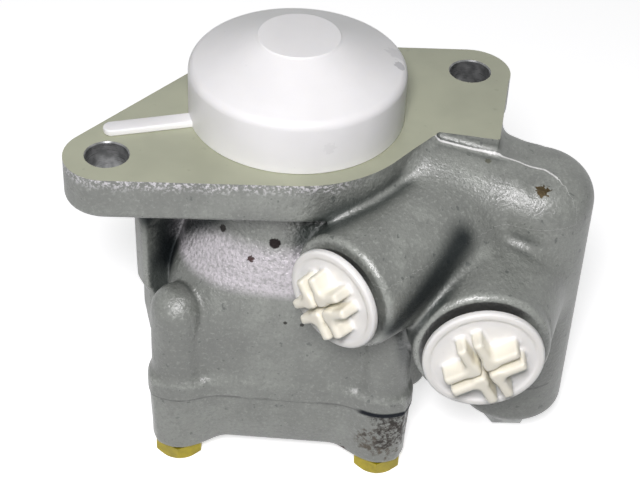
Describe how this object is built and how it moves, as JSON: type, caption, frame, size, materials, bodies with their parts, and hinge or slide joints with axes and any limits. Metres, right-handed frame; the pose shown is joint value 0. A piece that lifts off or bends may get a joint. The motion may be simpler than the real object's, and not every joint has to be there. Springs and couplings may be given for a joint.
{
  "type": "power_steering_pump",
  "caption": "Vane pump for hydraulic power steering: cast body with a two-hole flange, valve tower and two ports, closed by a pull-off cap and plugs",
  "frame": {"origin": "centre of the flange's mounting face, on the shaft axis", "axes": "+Z out of the drive end along the shaft; +X through the mounting hole beside the valve tower"},
  "size_m": [0.1575, 0.1473, 0.1448],
  "materials": {
    "cast_body": "sand cast, with a machined mounting face",
    "zinc": "yellow zinc plated",
    "rubber": "black nitrile",
    "steel": "ground steel",
    "spring_steel": "dark spring steel",
    "brass": "bronze and brass",
    "iron": "sintered iron",
    "plug_steel": "dull grey steel",
    "copper": "soft copper ring",
    "white_plastic": "moulded white plastic",
    "ivory_plastic": "moulded ivory plastic"
  },
  "bodies": {
    "pump_body": {"housing": "cast_body", "rear_cover": "cast_body", "cover_bolts": "zinc", "cover_seal": "rubber", "shaft_seal": "rubber", "bearing_outer_race": "steel", "bearing_circlip": "spring_steel", "rear_bush": "brass", "disc_spring": "spring_steel", "pressure_plate": "iron", "plate_seal": "rubber", "cam_ring": "steel", "rear_plate": "iron", "dowel_pins": "steel", "valve_spring": "spring_steel", "valve_plug": "plug_steel", "valve_plug_seal": "copper"},
    "shaft": {"drive_shaft": "steel", "shaft_circlip": "spring_steel", "bearing_inner_race": "steel", "rotor": "steel", "rotor_circlip": "spring_steel"},
    "ball_cage": {"bearing_cage": "brass", "bearing_balls": "steel"},
    "spool": {"valve_spool": "steel"},
    "cap": {"protective_cap": "white_plastic"},
    "upper_plug": {"upper_port_plug": "ivory_plastic"},
    "lower_plug": {"lower_port_plug": "ivory_plastic"},
    "vane_0": {"vane_0": "steel"},
    "vane_1": {"vane_1": "steel"},
    "vane_2": {"vane_2": "steel"},
    "vane_3": {"vane_3": "steel"},
    "vane_4": {"vane_4": "steel"},
    "vane_5": {"vane_5": "steel"},
    "vane_6": {"vane_6": "steel"},
    "vane_7": {"vane_7": "steel"},
    "vane_8": {"vane_8": "steel"},
    "vane_9": {"vane_9": "steel"}
  },
  "joints": [
    {"name": "shaft_spin", "type": "hinge", "parent": "pump_body", "child": "shaft", "pos_m": [0, 0, 0], "axis": [0, 0, 1], "continuous": true},
    {"name": "cage_spin", "type": "hinge", "parent": "pump_body", "child": "ball_cage", "pos_m": [0, 0, 0], "axis": [0, 0, 1], "continuous": true},
    {"name": "vane_0_slide", "type": "slide", "parent": "shaft", "child": "vane_0", "axis": [1, 0, 0], "range_m": [0, 0.00066]},
    {"name": "vane_1_slide", "type": "slide", "parent": "shaft", "child": "vane_1", "axis": [0.809, 0.5878, 0], "range_m": [0, 0.00053]},
    {"name": "vane_2_slide", "type": "slide", "parent": "shaft", "child": "vane_2", "axis": [0.309, 0.9511, 0], "range_m": [0, 0.00219]},
    {"name": "vane_3_slide", "type": "slide", "parent": "shaft", "child": "vane_3", "axis": [-0.309, 0.9511, 0], "range_m": [0, 0.00335]},
    {"name": "vane_4_slide", "type": "slide", "parent": "shaft", "child": "vane_4", "axis": [-0.809, 0.5878, 0], "range_m": [0, 0.0024]},
    {"name": "vane_5_slide", "type": "slide", "parent": "shaft", "child": "vane_5", "axis": [-1, 0, 0], "range_m": [0, 0.00066]},
    {"name": "vane_6_slide", "type": "slide", "parent": "shaft", "child": "vane_6", "axis": [-0.809, -0.5878, 0], "range_m": [0, 0.00053]},
    {"name": "vane_7_slide", "type": "slide", "parent": "shaft", "child": "vane_7", "axis": [-0.309, -0.9511, 0], "range_m": [0, 0.00219]},
    {"name": "vane_8_slide", "type": "slide", "parent": "shaft", "child": "vane_8", "axis": [0.309, -0.9511, 0], "range_m": [0, 0.00335]},
    {"name": "vane_9_slide", "type": "slide", "parent": "shaft", "child": "vane_9", "axis": [0.809, -0.5878, 0], "range_m": [0, 0.0024]},
    {"name": "spool_slide", "type": "slide", "parent": "pump_body", "child": "spool", "axis": [0, 0, -1], "range_m": [0, 0.01], "stiffness_N_per_m": 4000, "springref_m": -0.006, "deforming": ["valve_spring"]},
    {"name": "cap_pull", "type": "slide", "parent": "pump_body", "child": "cap", "axis": [0, 0, 1], "range_m": [0, 0.04]},
    {"name": "upper_plug_pull", "type": "slide", "parent": "pump_body", "child": "upper_plug", "axis": [-0.9205, -0.3907, 0], "range_m": [0, 0.03]},
    {"name": "lower_plug_pull", "type": "slide", "parent": "pump_body", "child": "lower_plug", "axis": [-0.4067, -0.9135, 0], "range_m": [0, 0.03]}
  ],
  "couplings": [
    {"joint": "cage_spin", "follows": "shaft_spin", "ratio": 0.38149}
  ]
}
